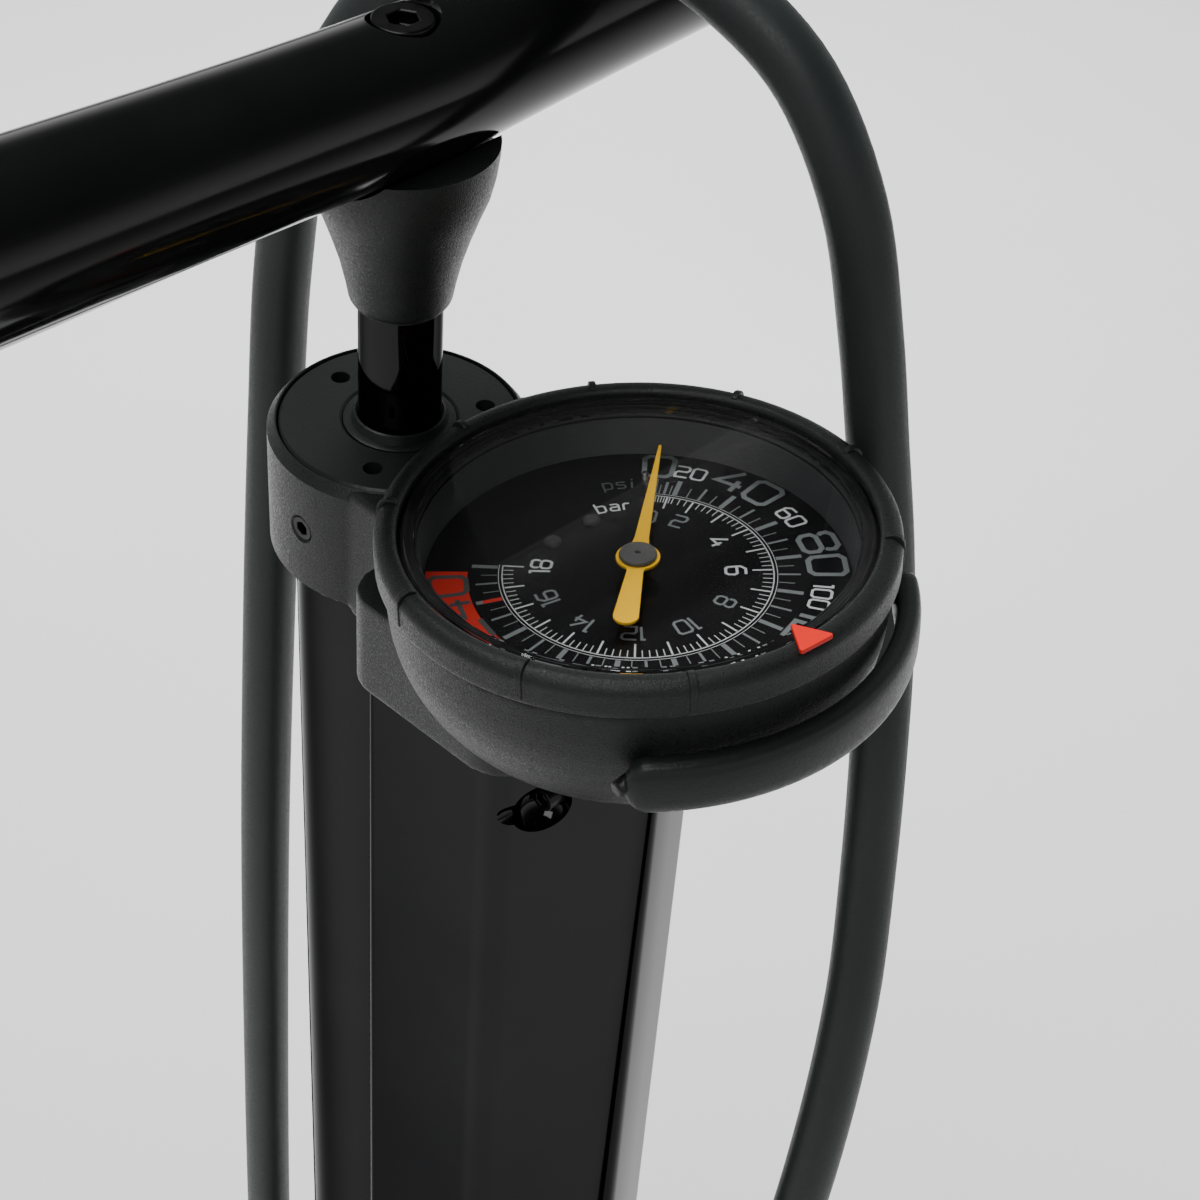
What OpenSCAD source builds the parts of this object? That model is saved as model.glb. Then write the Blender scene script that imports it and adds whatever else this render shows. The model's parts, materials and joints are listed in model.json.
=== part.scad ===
// Tubeless floor pump: a pumping barrel and a second, larger air chamber stand side by side
// on a broad foot. One moulded head joins their tops and carries a big gauge that leans
// towards the user, with an arc-shaped release lever round its front. The hose leaves the
// back of the base, passes over the handle's right arm and ends in a chuck parked in front.
//
// Frame: +Z up, the barrel's axis is Z, the gauge is on -Y, the user stands on +Y and the
// handle lies along X. The ground is z = 0. Millimetres.

/* [Height and travel] */
// Height of the flat top of the head
head_top = 612; // [560:1:680]
// Upward travel of the piston
stroke = 500; // [300:5:510]
// Rod that shows between the head and the handle's cone when the piston is down
rod_gap = 27; // [20:1:40]

/* [Barrel and rod] */
// Outer radius of the barrel
barrel_r = 20.5; // [20:0.5:21]
// Wall of the barrel
barrel_wall = 2; // [1.5:0.5:2.5]
// Radius of the piston rod
rod_r = 8; // [7.5:0.5:8]

/* [Air chamber] */
// Half width of the chamber
chamber_half_w = 30; // [28:0.5:31]
// Wall of the chamber
chamber_wall = 2.5; // [2:0.5:3]

/* [Gauge] */
// Distance from the barrel's axis to the gauge's axis
gauge_y = 61.5; // [61:0.5:63]
// Height of the bezel's widest ring above the top of the head
gauge_rise = 12.5; // [12.5:0.5:16]
// Lean of the gauge towards the user
gauge_tilt = 5.5; // [0:0.5:6]
// Outer radius of the bezel
bezel_r = 46.9; // [46:0.1:48]

/* [Handle] */
// Half length of the handle
handle_half = 132; // [115:1:140]
// Height of the handle's middle above the top of the head
handle_rise = 70.5; // [70:0.5:76]
// Rise of each arm of the handle, in degrees
arm_rise = 3.2; // [0:0.1:4]

/* [Hose] */
// Radius of the hose
hose_r = 6; // [5:0.5:6]

/* [Hidden] */
$fn = 64;

// Colours
BLACK_GLOSS = [0.02, 0.02, 0.022];
BLACK_MOULDED = [0.06, 0.068, 0.066];
RUBBER = [0.045, 0.05, 0.05];
STEEL = [0.62, 0.62, 0.63];
BRASS = [0.74, 0.6, 0.32];
SEAL = [0.05, 0.05, 0.055];
AMBER = [0.93, 0.7, 0.05];
RED = [0.85, 0.1, 0.06];
CLEAR = [0.9, 0.95, 1, 0.3];

// Clearances
slip = 0.05;
play = 0.3;
gasket_t = 1.5;

// Levels of the base
foot_h = 5;
plate_t = 7;
plate_top = foot_h + plate_t;
flange_top = plate_top + 8;
socket_floor = plate_top + 22;
casting_top = plate_top + 46;
duct_z = plate_top + 8;

// Levels of the head
socket_top = head_top - 10.5;
cap_t = 8;
collar_r = 25.5;
collar_h = 28;
cap_r = 23.8;
chamber_socket_top = head_top - 24.5;
skirt_z = head_top - 34;
bridge_half_w = 23;

// Levels of the gauge, in its own frame; 0 is the bezel's widest ring
bezel_low = -7.6;
rim_z = -8;
flange_low = -6.6;
case_floor = -26;
case_r = 40;
dial_z = -13.4;
lens_low = -5.2;
lens_t = 1.7;
needle_z = -10.2;
needle_rest = 126;
lever_top = -14.6;
lever_low = -25.2;
lever_in = 46.4;
lever_out = 51;
lever_end = 50;
lever_pivot_y = 31.3;
lever_pivot_z = -20;

// Gear train of the gauge
gear_module = 0.5;
pinion_teeth = 12;
sector_teeth = 72;
pinion_pitch_r = gear_module * pinion_teeth / 2;
sector_pitch_r = gear_module * sector_teeth / 2;
gear_z = -17.9;
gear_t = 1.4;

// Piston and handle
piston_low = 42;
piston_h = 12;
bore_r = barrel_r - barrel_wall;
handle_z = head_top + handle_rise;
cone_low = head_top + rod_gap;

// Hose outlet at the back and the parked chuck in front
outlet_y = 53;
outlet_top = 42;
chuck_y = 92;
chuck_low = 112;
chuck_top = 196;

// ---------------------------------------------------------------- outlines

function unit(v) = v / norm(v);
function turn_to(a, b) = b < a ? b + 360 : b;

// Arc of n steps round the point c
function arc(c, r, a0, a1, n) = [for (i = [0:n]) c + r * [cos(a0 + (a1 - a0) * i / n), sin(a0 + (a1 - a0) * i / n)]];

// Corner b of an anticlockwise outline a-b-c, rounded to radius r and grown by o
function round_corner(a, b, c, r, o) =
    let (u = unit(a - b), w = unit(c - b), h = acos(u * w) / 2,
         centre = b + unit(u + w) * r / sin(h),
         a0 = atan2(-(b - a)[0], (b - a)[1]),
         a1 = turn_to(a0, atan2(-(c - b)[0], (c - b)[1])))
    arc(centre, r + o, a0, a1, max(2, ceil((a1 - a0) / 9)));

// Anticlockwise outline with one corner radius a point, grown by o
function rounded(p, radii, o = 0) =
    let (n = len(p))
    [for (i = [0:n - 1]) for (q = round_corner(p[(i + n - 1) % n], p[i], p[(i + 1) % n], radii[i], o)) q];

// Plan of the chamber: flat sides, and a shallow ridge in front
chamber_back = barrel_r + 1.3;
chamber_side = 57.7;
chamber_ridge = 71.8;
chamber_plan = [
    [-chamber_half_w, -chamber_back], [-chamber_half_w, -chamber_side], [0, -chamber_ridge],
    [chamber_half_w, -chamber_side], [chamber_half_w, -chamber_back]
];
chamber_radii = [4, 7, 12, 7, 4];
function chamber_outline(o) = rounded(chamber_plan, chamber_radii, o);

plate_plan = [[-45, -97], [45, -97], [122, -48], [122, 8], [45, 64], [-45, 64], [-122, 8], [-122, -48]];
plate_radii = [70, 70, 26, 26, 70, 70, 26, 26];
flange_half_w = 43;
flange_plan = [[-flange_half_w, -86], [flange_half_w, -86], [flange_half_w, 30], [-flange_half_w, 30]];
flange_radii = [16, 16, 20, 20];
bolt_places = [[-34, 18], [34, 18], [-34, -75], [34, -75]];
foot_places = [[0, 0], [-38, -82], [38, -82], [-38, 49], [38, 49], [-108, -20], [108, -20]];

// ---------------------------------------------------------------- swept tubes

// Tube of radius r along the points p; ref is a direction that the path never follows
function tangent(p, i) = unit(p[min(i + 1, len(p) - 1)] - p[max(i - 1, 0)]);
function ring(p, i, r, sides, ref) =
    let (t = tangent(p, i), u = unit(cross(t, ref)), v = cross(t, u))
    [for (k = [0:sides - 1]) p[i] + r * (cos(360 * k / sides) * u + sin(360 * k / sides) * v)];
module swept_tube(p, r, sides, ref) {
    n = len(p);
    points = [for (i = [0:n - 1]) for (q = ring(p, i, r, sides, ref)) q];
    start = [for (k = [0:sides - 1]) k];
    finish = [for (k = [sides - 1:-1:0]) (n - 1) * sides + k];
    walls = [
        for (i = [0:n - 2]) for (k = [0:sides - 1])
            let (a = i * sides + k, b = i * sides + (k + 1) % sides)
            [a, a + sides, b + sides, b]
    ];
    polyhedron(points = points, faces = concat([start], walls, [finish]), convexity = 10);
}

// Smooth curve through hand-placed points, with m pieces between each two
function blend_point(a, b, c, d, t) =
    0.5 * (2 * b + (c - a) * t + (2 * a - 5 * b + 4 * c - d) * t * t + (3 * b - a - 3 * c + d) * t * t * t);
function smooth_path(p, m) =
    let (n = len(p))
    concat(
        [for (i = [0:n - 2]) for (j = [0:m - 1])
            blend_point(p[max(i - 1, 0)], p[i], p[i + 1], p[min(i + 2, n - 1)], j / m)],
        [p[n - 1]]);

// Route of the hose, from the outlet up behind the barrel, over the handle's right arm and
// down in front to the parked chuck
hose_route = [
    [0, outlet_y, outlet_top + 0.4], [0, outlet_y, 80], [0, 54, 140], [1, 55, 210], [2, 55, 290],
    [4, 55, 370], [6, 54, 450], [9, 53, 520], [12, 52, 575], [14, 50, 617], [16, 45, 648],
    [23, 33, 677], [30, 15, 700], [36, 0, 706.5], [41, -16, 704.5], [44.5, -34, 699.5], [47, -51, 689],
    [49, -63.5, 669], [51, -70, 644], [53.3, -74, 620], [55.5, -78, 596], [56, -82, 572], [54.2, -86, 550],
    [51, -91, 520], [45, -97, 485], [36, -101, 445], [26, -102, 400], [15, -100, 350],
    [6, -96, 300], [1, -93, 255], [0, -chuck_y, 225], [0, -chuck_y, chuck_top + 0.4]
];

module torus(mean_r, wire_r) {
    rotate_extrude($fn = 96) translate([mean_r, 0]) circle(r = wire_r, $fn = 32);
}

module tube(outer, inner, h) {
    difference() {
        cylinder(r = outer, h = h);
        translate([0, 0, -1]) cylinder(r = inner, h = h + 2);
    }
}

module outline_ring(outer, inner, h) {
    difference() {
        linear_extrude(height = h) polygon(outer);
        translate([0, 0, -1]) linear_extrude(height = h + 2) polygon(inner);
    }
}

// Puts its children in the gauge's frame, which leans towards the user
module at_gauge() {
    translate([0, -gauge_y, head_top + gauge_rise]) rotate([-gauge_tilt, 0, 0]) children();
}

// ---------------------------------------------------------------- base

module base_plate() {
    color(BLACK_MOULDED) translate([0, 0, foot_h]) difference() {
        linear_extrude(height = plate_t) polygon(rounded(plate_plan, plate_radii));
        for (p = bolt_places) translate([p[0], p[1], -1]) cylinder(r = 3.2, h = plate_t + 2);
    }
}

module rubber_feet() {
    color(RUBBER) for (p = foot_places) translate([p[0], p[1], 0]) {
        cylinder(r = 11, h = foot_h);
    }
}

// Ribbed pads where the user's feet stand
tread_plan = [[60, -52], [94, -52], [112, -40], [112, 0], [94, 14], [60, 26]];
tread_radii = [6, 10, 12, 12, 10, 6];
module tread() {
    linear_extrude(height = 1.6) polygon(rounded(tread_plan, tread_radii));
    for (i = [0:5]) translate([66 + 8 * i, -40, 1.6]) cube([3.5, 40, 1.4]);
}
module foot_treads() {
    color(RUBBER) translate([0, 0, plate_top]) {
        tread();
        mirror([1, 0, 0]) tread();
    }
}

module base_casting() {
    color(BLACK_MOULDED) difference() {
        union() {
            translate([0, 0, plate_top]) linear_extrude(height = 8) polygon(rounded(flange_plan, flange_radii));
            translate([0, 0, plate_top]) cylinder(r = barrel_r + 6.5, h = casting_top - plate_top);
            translate([0, 0, plate_top]) linear_extrude(height = casting_top - plate_top) polygon(chamber_outline(5));
        }
        translate([0, 0, socket_floor]) cylinder(r = barrel_r + slip, h = 60);
        translate([0, 0, socket_floor]) linear_extrude(height = 60) polygon(chamber_outline(slip));
        for (p = bolt_places) translate([p[0], p[1], plate_top - 1]) cylinder(r = 3.2, h = 12);
        // Valve chamber under the barrel, its seat, and the ducts to the chamber and the hose
        translate([0, 0, duct_z - 3]) cylinder(r = 5, h = 30);
        translate([0, 0, socket_floor - 4]) cylinder(r = 8 + slip, h = 10);
        translate([0, 60, duct_z]) rotate([90, 0, 0]) cylinder(r = 2.5, h = 110);
        translate([0, -47, duct_z]) cylinder(r = 2.4, h = 30);
        translate([0, 60, duct_z]) rotate([90, 0, 0]) cylinder(r = 5 + slip, h = 60 - 17);
    }
}

module base_bolts() {
    color(STEEL) for (p = bolt_places) translate([p[0], p[1], 0]) {
        translate([0, 0, foot_h + 1]) cylinder(r = 3, h = flange_top - foot_h - 1);
        translate([0, 0, flange_top]) difference() {
            cylinder(r = 5, h = 6);
            translate([0, 0, 3]) cylinder(r = 2.9, h = 4, $fn = 6);
        }
    }
}

// ---------------------------------------------------------------- barrel and chamber

module barrel_tube() {
    low = socket_floor + gasket_t;
    color(BLACK_GLOSS) translate([0, 0, low]) tube(barrel_r, bore_r, socket_top - gasket_t - low);
}

module barrel_lower_gasket() {
    color(SEAL) translate([0, 0, socket_floor]) tube(barrel_r - slip, 15, gasket_t);
}

module barrel_upper_gasket() {
    color(SEAL) translate([0, 0, socket_top - gasket_t]) tube(barrel_r - slip, 17.5, gasket_t);
}

// Recess in the chamber's front corner that a cross screw's head sinks into, and the solid
// port that runs down the inside of that corner
screw_y = 60.4;
screw_z = head_top - 46.5;
screw_face_x = 15.5;
screw_recess_r = 2.75;
dish_r = 6.2;
port_r = 9.5;

module chamber_wall_plan() {
    difference() {
        polygon(chamber_outline(0));
        difference() {
            polygon(chamber_outline(-chamber_wall));
            for (side = [-1, 1]) translate([side * 22.5, -57.5]) circle(r = port_r);
        }
    }
}

module chamber_tube() {
    low = socket_floor + gasket_t;
    h = chamber_socket_top - gasket_t - low;
    color(BLACK_GLOSS) difference() {
        translate([0, 0, low]) linear_extrude(height = h) chamber_wall_plan();
        for (side = [-1, 1]) translate([side * screw_face_x, -screw_y, screw_z]) rotate([0, side * 90, 0]) {
            cylinder(r = screw_recess_r, h = 20);
            translate([0, 0, -5.6]) cylinder(r = 1.9 + slip, h = 10);
        }
        for (side = [-1, 1]) translate([side * 21.4, -63.2, screw_z]) sphere(r = dish_r, $fn = 64);
    }
}

module chamber_lower_gasket() {
    color(SEAL) translate([0, 0, socket_floor])
        outline_ring(chamber_outline(-slip), chamber_outline(-4), gasket_t);
}

module chamber_upper_gasket() {
    color(SEAL) translate([0, 0, chamber_socket_top - gasket_t])
        outline_ring(chamber_outline(-slip), chamber_outline(-4), gasket_t);
}

// Two cross screws with sunk button heads
module chamber_screws() {
    color(STEEL) for (side = [-1, 1]) {
        translate([side * screw_face_x, -screw_y, screw_z]) rotate([0, side * 90, 0]) difference() {
            union() {
                translate([0, 0, -5.4]) cylinder(r = 1.9, h = 6);
                cylinder(r = 2.5, h = 3.8);
            }
            translate([0, 0, 2.2]) cylinder(r = 1.5, h = 3, $fn = 6);
        }
    }
}

module valve_seat() {
    color(BRASS) translate([0, 0, socket_floor - 4]) tube(8, 3, 4);
}

// The ball hangs just under its seat, held up by the spring
ball_r = 4;
ball_z = socket_floor - 4 - 3.1;
module check_ball() {
    color(STEEL) translate([0, 0, ball_z]) sphere(r = ball_r);
}

module check_spring() {
    low = duct_z - 3;
    // Coils drawn as a close stack of rings
    rings = 9;
    rise = ball_z - ball_r - low - 0.2;
    color(STEEL) for (i = [0:rings - 1]) translate([0, 0, low + 0.36 + rise * i / (rings - 1)]) torus(2.4, 0.36);
}

// ---------------------------------------------------------------- head

bowl_r = 45.3;
bowl_curve = 28;
bowl_wall_low = -15;

module gauge_bowl() {
    centre = [bowl_r - bowl_curve, bowl_wall_low];
    profile = concat(
        [[0, rim_z], [bowl_r, rim_z]],
        arc(centre, bowl_curve, 0, -90, 12),
        [[0, bowl_wall_low - bowl_curve]]);
    at_gauge() rotate_extrude($fn = 96) polygon(profile);
}

// Lugs on the bowl that the lever's pins turn in
module lever_lugs() {
    at_gauge() intersection() {
        for (side = [-1, 1])
            translate([side * 27, -lever_pivot_y, lever_pivot_z]) rotate([0, side * 90, 0]) cylinder(r = 4.5, h = 7.6);
        translate([0, 0, case_floor]) cylinder(r = 44.8, h = 20, $fn = 96);
    }
}

module head_housing() {
    color(BLACK_MOULDED) difference() {
        union() {
            translate([0, 0, head_top - collar_h]) cylinder(r = collar_r, h = collar_h - 2);
            translate([0, 0, head_top - 2]) cylinder(r1 = collar_r, r2 = collar_r - 1.6, h = 2);
            translate([-bridge_half_w, -52, head_top - 30]) cube([2 * bridge_half_w, 41, 30]);
            translate([0, 0, skirt_z]) linear_extrude(height = 22) polygon(chamber_outline(2.4));
            gauge_bowl();
            lever_lugs();
        }
        // Clear of the bezel above the rim
        at_gauge() translate([0, 0, rim_z]) cylinder(r = bezel_r + 2, h = 40, $fn = 96);
        // Barrel socket, the opening above it and the seat of the cap
        translate([0, 0, head_top - collar_h - 20]) cylinder(r = barrel_r + slip, h = collar_h + 20 - 10.5);
        translate([0, 0, head_top - 20]) cylinder(r = 12.5 + slip, h = 30);
        translate([0, 0, head_top - cap_t]) cylinder(r = cap_r + 0.1, h = 20);
        // Chamber socket
        translate([0, 0, skirt_z - 5]) linear_extrude(height = chamber_socket_top - skirt_z + 5)
            polygon(chamber_outline(slip));
        // Gauge well, its stem, the release valve's bore and the lever's pin holes
        at_gauge() {
            translate([0, 0, case_floor]) cylinder(r = case_r + 0.1, h = 40, $fn = 96);
            for (side = [-1, 1])
                translate([side * 28, -lever_pivot_y, lever_pivot_z]) rotate([0, side * 90, 0])
                    cylinder(r = 1.5 + slip, h = 20);
        }
        translate([0, -gauge_y + 18.4, head_top - 30]) cylinder(r = 4 + slip, h = 30);
        translate([0, -gauge_y, head_top - 30]) cylinder(r = 4 + slip, h = 14);
        // Collar screw's thread
        translate([-collar_r - 5, 0, head_top - 14]) rotate([0, 90, 0]) cylinder(r = 2.5 + slip, h = 12);
    }
}

module barrel_cap() {
    color(BLACK_GLOSS) translate([0, 0, head_top - cap_t]) difference() {
        cylinder(r = cap_r, h = cap_t);
        translate([0, 0, -1]) cylinder(r = 11, h = cap_t + 2);
        translate([0, 0, -1]) cylinder(r = 13.6, h = 3.4);
        for (a = [90, 210, 330])
            translate([17 * cos(a), 17 * sin(a), cap_t - 4]) cylinder(r = 1.8, h = 5);
        // Clear of the gauge's case
        translate([0, 0, cap_t - head_top]) at_gauge() translate([0, 0, case_floor - 2])
            cylinder(r = case_r + 0.5, h = 60, $fn = 96);
    }
}

module rod_bush() {
    color(SEAL) translate([0, 0, head_top - cap_t]) difference() {
        union() {
            cylinder(r = 13.5, h = 2.3);
            cylinder(r = 10.95, h = cap_t);
            cylinder(r = 9.3, h = cap_t + 1.8);
        }
        translate([0, 0, -1]) cylinder(r = rod_r + slip, h = 20);
    }
}

module rod_seal() {
    color(SEAL) translate([0, 0, head_top - cap_t - 2.4]) tube(12.5, rod_r + slip, 2.3);
}

module collar_screw() {
    color(STEEL) translate([-collar_r + 0.3, 0, head_top - 14]) rotate([0, 90, 0]) difference() {
        cylinder(r = 2.5, h = collar_r - barrel_r - 0.5);
        translate([0, 0, -1]) cylinder(r = 1.5, h = 3, $fn = 6);
    }
}

// ---------------------------------------------------------------- gauge

module gauge_case() {
    color(STEEL) at_gauge() difference() {
        union() {
            translate([0, 0, case_floor]) cylinder(r = case_r, h = flange_low - case_floor, $fn = 96);
            translate([0, 0, flange_low]) cylinder(r = 43.4, h = 0.7, $fn = 96);
        }
        translate([0, 0, case_floor + 1.5]) cylinder(r = case_r - 1.2, h = 40, $fn = 96);
        translate([0, 21, case_floor - 1]) cylinder(r = 4.4, h = 4);
    }
}

// Stem that leads the chamber's pressure into the gauge, with a block for the curved tube
module gauge_stem() {
    color(BRASS) {
        translate([0, -gauge_y + 18.4, head_top - 29]) cylinder(r = 4, h = 18);
        at_gauge() translate([-5, 16, case_floor + 1.8]) cube([10, 11, 6]);
    }
}

// Flattened tube, bent to three quarters of a circle, that uncurls as the pressure rises
module bourdon_tube() {
    color(BRASS) at_gauge() translate([0, 0, case_floor + 9.2]) rotate([0, 0, 96])
        rotate_extrude(angle = 250, $fn = 96) translate([29, 0]) square([1.6, 4.4], center = true);
}

// One tooth that stands out along +X from the pitch radius
module tooth(pitch_r) {
    base_w = 0.34 * gear_module * PI;
    tip_w = 0.16 * gear_module * PI;
    polygon([
        [pitch_r - 1.1 * gear_module, -base_w / 2 - 0.06], [pitch_r, -base_w / 2], [pitch_r + 0.75 * gear_module, -tip_w / 2],
        [pitch_r + 0.75 * gear_module, tip_w / 2], [pitch_r, base_w / 2], [pitch_r - 1.1 * gear_module, base_w / 2 + 0.06]
    ]);
}

gear_spacing = pinion_pitch_r + sector_pitch_r;
// Direction from the needle's axis to the sector's axis, in the gauge's frame
sector_dir = 200;
sector_axis = gear_spacing * [cos(sector_dir), sin(sector_dir)];

module sector_gear() {
    color(BRASS) at_gauge() translate([sector_axis[0], sector_axis[1], gear_z]) rotate([0, 0, sector_dir - 180])
        difference() {
            linear_extrude(height = gear_t) union() {
                // Teeth from the meshing line to the far end of the travel
                for (i = [-13:2]) rotate(360 / sector_teeth * (i + 0.5)) tooth(sector_pitch_r);
                polygon(concat(
                    arc([0, 0], 3.4, 80, 230, 12),
                    arc([0, 0], sector_pitch_r - gear_module, -66, 16, 20)));
            }
            translate([0, 0, -1]) cylinder(r = 1.05, h = 5);
        }
}

module sector_pin() {
    color(STEEL) at_gauge() translate([sector_axis[0], sector_axis[1], case_floor + 1.5])
        cylinder(r = 1, h = gear_z + gear_t + 0.8 - case_floor - 1.5);
}

module needle_arbor() {
    color(BRASS) at_gauge() rotate([0, 0, sector_dir]) {
        translate([0, 0, case_floor + 2.2]) cylinder(r = 1, h = needle_z - case_floor - 2.2);
        translate([0, 0, gear_z - 0.2]) linear_extrude(height = gear_t + 0.4) union() {
            circle(r = pinion_pitch_r - gear_module);
            for (i = [0:pinion_teeth - 1]) rotate(360 / pinion_teeth * i) tooth(pinion_pitch_r);
        }
    }
}

// Tapered pointer with a rounded tail, drawn at its rest beside the stop pin
module gauge_needle() {
    color(AMBER) at_gauge() rotate([0, 0, needle_rest - 180]) translate([0, 0, needle_z])
        linear_extrude(height = 0.6) union() {
            circle(r = 3.9);
            polygon([[-1.5, 0], [-2.3, -17.3], [2.3, -17.3], [1.5, 0], [0.25, 36], [-0.25, 36]]);
            translate([0, -17.3]) circle(r = 2.3);
        }
}

module needle_cap() {
    color(STEEL) at_gauge() translate([0, 0, needle_z + 0.6]) difference() {
        cylinder(r = 2.9, h = 0.7);
        translate([0, 0, 0.2]) cylinder(r = 0.5, h = 2);
    }
}

module dial_plate() {
    color(BLACK_GLOSS) at_gauge() translate([0, 0, dial_z - 0.8]) difference() {
        cylinder(r = 38.4, h = 0.8, $fn = 96);
        translate([0, 0, -1]) cylinder(r = 1.6, h = 3);
    }
}

rivet_r = 18.1;
module dial_rivets() {
    color(STEEL) at_gauge() for (a = [71, 102])
        translate([rivet_r * cos(a), rivet_r * sin(a), dial_z]) {
            cylinder(r = 1.6, h = 0.4);
            translate([0, 0, 0.4]) cylinder(r1 = 1.6, r2 = 0.9, h = 0.5);
        }
}

stop_pin_r = 25.4;
stop_pin_at = 39.7;
module stop_pin() {
    color(STEEL) at_gauge() translate([stop_pin_r * cos(stop_pin_at), stop_pin_r * sin(stop_pin_at), dial_z])
        cylinder(r = 0.6, h = needle_z + 1.2 - dial_z);
}

module lens_gasket() {
    color(SEAL) at_gauge() translate([0, 0, flange_low + 0.7]) tube(41.5, 39.4, lens_low - flange_low - 0.7);
}

module gauge_lens() {
    color(CLEAR) at_gauge() translate([0, 0, lens_low]) difference() {
        union() {
            cylinder(r = 42, h = 3, $fn = 96);
            translate([0, 0, 3]) cylinder(r1 = 42, r2 = 41.3, h = 0.7, $fn = 96);
        }
        translate([0, 0, -1]) cylinder(r = 39.8, h = 1 + 3.7 - lens_t, $fn = 96);
    }
}

// Turning ring that holds the lens down and carries the marker
bezel_ribs = 10;
module bezel_ring() {
    inner = 42.7;
    color(BLACK_MOULDED) at_gauge() rotate_extrude($fn = 96) polygon(concat(
        [[42.4, bezel_low], [bezel_r - 0.6, bezel_low], [bezel_r, bezel_low + 0.6]],
        arc([bezel_r - 2, -2.6], 2, 0, 90, 6),
        [[inner + 0.7, -0.7], [inner, -1.4], [inner, -2.7], [43.9, -2.7], [43.9, flange_low - 0.3], [42.4, flange_low - 0.3]]));
    color(BLACK_MOULDED) at_gauge() for (i = [1:bezel_ribs - 1]) rotate([0, 0, -90 + 360 / bezel_ribs * i])
        translate([44.3, -0.65, -6.8]) cube([2.8, 1.3, 6.8]);
}

// Red triangle that the user turns to the wanted pressure; it points at the dial's middle
module pressure_marker() {
    color(RED) at_gauge() rotate([0, 0, -98]) translate([0, 0, -0.57])
        linear_extrude(height = 0.8) polygon([[40.2, 0], [46.6, -3.7], [46.6, 3.7]]);
}

// ---------------------------------------------------------------- release lever

module release_lever() {
    section = rounded(
        [[lever_in, lever_low], [lever_out, lever_low], [lever_out, lever_top], [lever_in, lever_top]],
        [1.2, 1.8, 1.8, 1.2]);
    color(BLACK_MOULDED) at_gauge() difference() {
        rotate([0, 0, -90 - lever_end]) rotate_extrude(angle = 2 * lever_end, $fn = 96) polygon(section);
        for (side = [-1, 1])
            translate([side * 28, -lever_pivot_y, lever_pivot_z]) rotate([0, side * 90, 0])
                cylinder(r = 1.5 + slip, h = 20);
    }
}

module lever_pins() {
    color(STEEL) at_gauge() for (side = [-1, 1])
        translate([side * 28.2, -lever_pivot_y, lever_pivot_z]) rotate([0, side * 90, 0])
            cylinder(r = 1.5, h = 10.6);
}

module release_plunger() {
    color(BRASS) translate([0, -gauge_y, head_top - 29.6]) difference() {
        cylinder(r = 4, h = 10);
        translate([0, 0, 5]) difference() {
            cylinder(r = 5, h = 1.6);
            translate([0, 0, -1]) cylinder(r = 3, h = 4);
        }
    }
}

module plunger_seal() {
    color(SEAL) translate([0, -gauge_y, head_top - 24.6 + 0.8]) torus(3.45, 0.42);
}

// ---------------------------------------------------------------- piston and handle

module piston_rod() {
    top = handle_z - 9.3;
    low = piston_low + piston_h;
    color(BLACK_GLOSS) difference() {
        union() {
            translate([0, 0, low]) cylinder(r = rod_r, h = top - low);
            translate([0, 0, piston_low - 5]) cylinder(r = 5, h = piston_h + 6);
        }
        translate([0, 0, low + 20]) cylinder(r = rod_r - 2, h = top - low - 45);
        translate([0, 0, top - 18]) cylinder(r = 3 + slip, h = 20);
    }
}

module piston_head() {
    color(BLACK_MOULDED) translate([0, 0, piston_low]) difference() {
        cylinder(r = bore_r - play, h = piston_h - slip);
        translate([0, 0, -1]) cylinder(r = 5 + slip, h = piston_h + 2);
        translate([0, 0, piston_h / 2 - 2]) tube(bore_r + 5, bore_r - 3.4, 4);
    }
}

module piston_seal() {
    color(SEAL) translate([0, 0, piston_low + piston_h / 2]) torus(bore_r - slip - 1.65, 1.65);
}

module piston_nut() {
    color(STEEL) translate([0, 0, piston_low - 4.2]) difference() {
        cylinder(r = 9, h = 4, $fn = 6);
        translate([0, 0, -1]) cylinder(r = 5 + slip, h = 6);
    }
}

// Flared cone between the rod and the handle
module hub_cone() {
    top = handle_rise - rod_gap - 9.4;
    color(BLACK_MOULDED) translate([0, 0, cone_low]) difference() {
        rotate_extrude($fn = 96) polygon(concat(
            [[0, 0]],
            arc([7.2, 2.6], 2.6, -90, -20, 4),
            arc([32, 2.9], 22, 176, 150, 4),
            [[16.8, 27], [17.6, 30], [17.6, top], [0, top]]));
        translate([0, 0, -1]) cylinder(r = rod_r + slip, h = 80);
        translate([0, 0, -cone_low]) arms() translate([-4, 0, 0]) rotate([0, 90, 0]) cylinder(r = 14.25, h = 60);
    }
}

// Puts one arm, drawn along +X, on each side and tilts it up
module arms() {
    for (side = [0, 1]) translate([0, 0, handle_z]) mirror([side, 0, 0]) rotate([0, -arm_rise, 0]) children();
}

module handle_core() {
    color(STEEL) difference() {
        arms() rotate([0, 90, 0]) cylinder(r = 9, h = handle_half - 6);
        arms() translate([14, 0, 0]) rotate([0, 90, 0]) cylinder(r = 7, h = handle_half);
        translate([0, 0, handle_z - 20]) cylinder(r = 3 + slip, h = 40);
    }
}

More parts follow.
